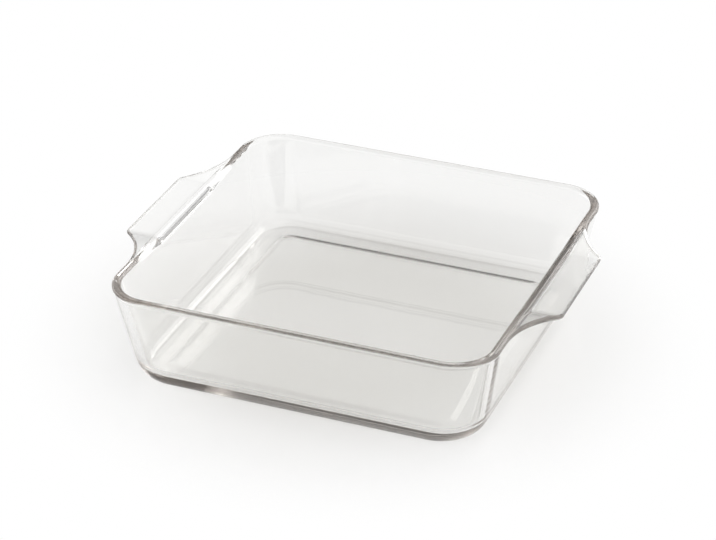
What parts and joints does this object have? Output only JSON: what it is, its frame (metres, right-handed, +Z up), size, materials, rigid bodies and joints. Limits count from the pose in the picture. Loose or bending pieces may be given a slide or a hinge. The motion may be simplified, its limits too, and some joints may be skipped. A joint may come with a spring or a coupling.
{
  "type": "glass baking dish",
  "caption": "Square clear pressed-glass baking dish with leaning walls, rounded rim, flat foot and tab handles swept out of the rim at opposite ends.",
  "frame": {"origin": "centre of the overall box, on the plane the foot stands on", "axes": "+X from the left handle to the right handle, +Y from the side nearest the camera to the far side, +Z up"},
  "size_m": [0.256, 0.22, 0.0564],
  "materials": {
    "glass": "pressed and fire-polished, clear and near colourless"
  },
  "bodies": {
    "root": {"glass_dish": "glass"}
  },
  "joints": []
}
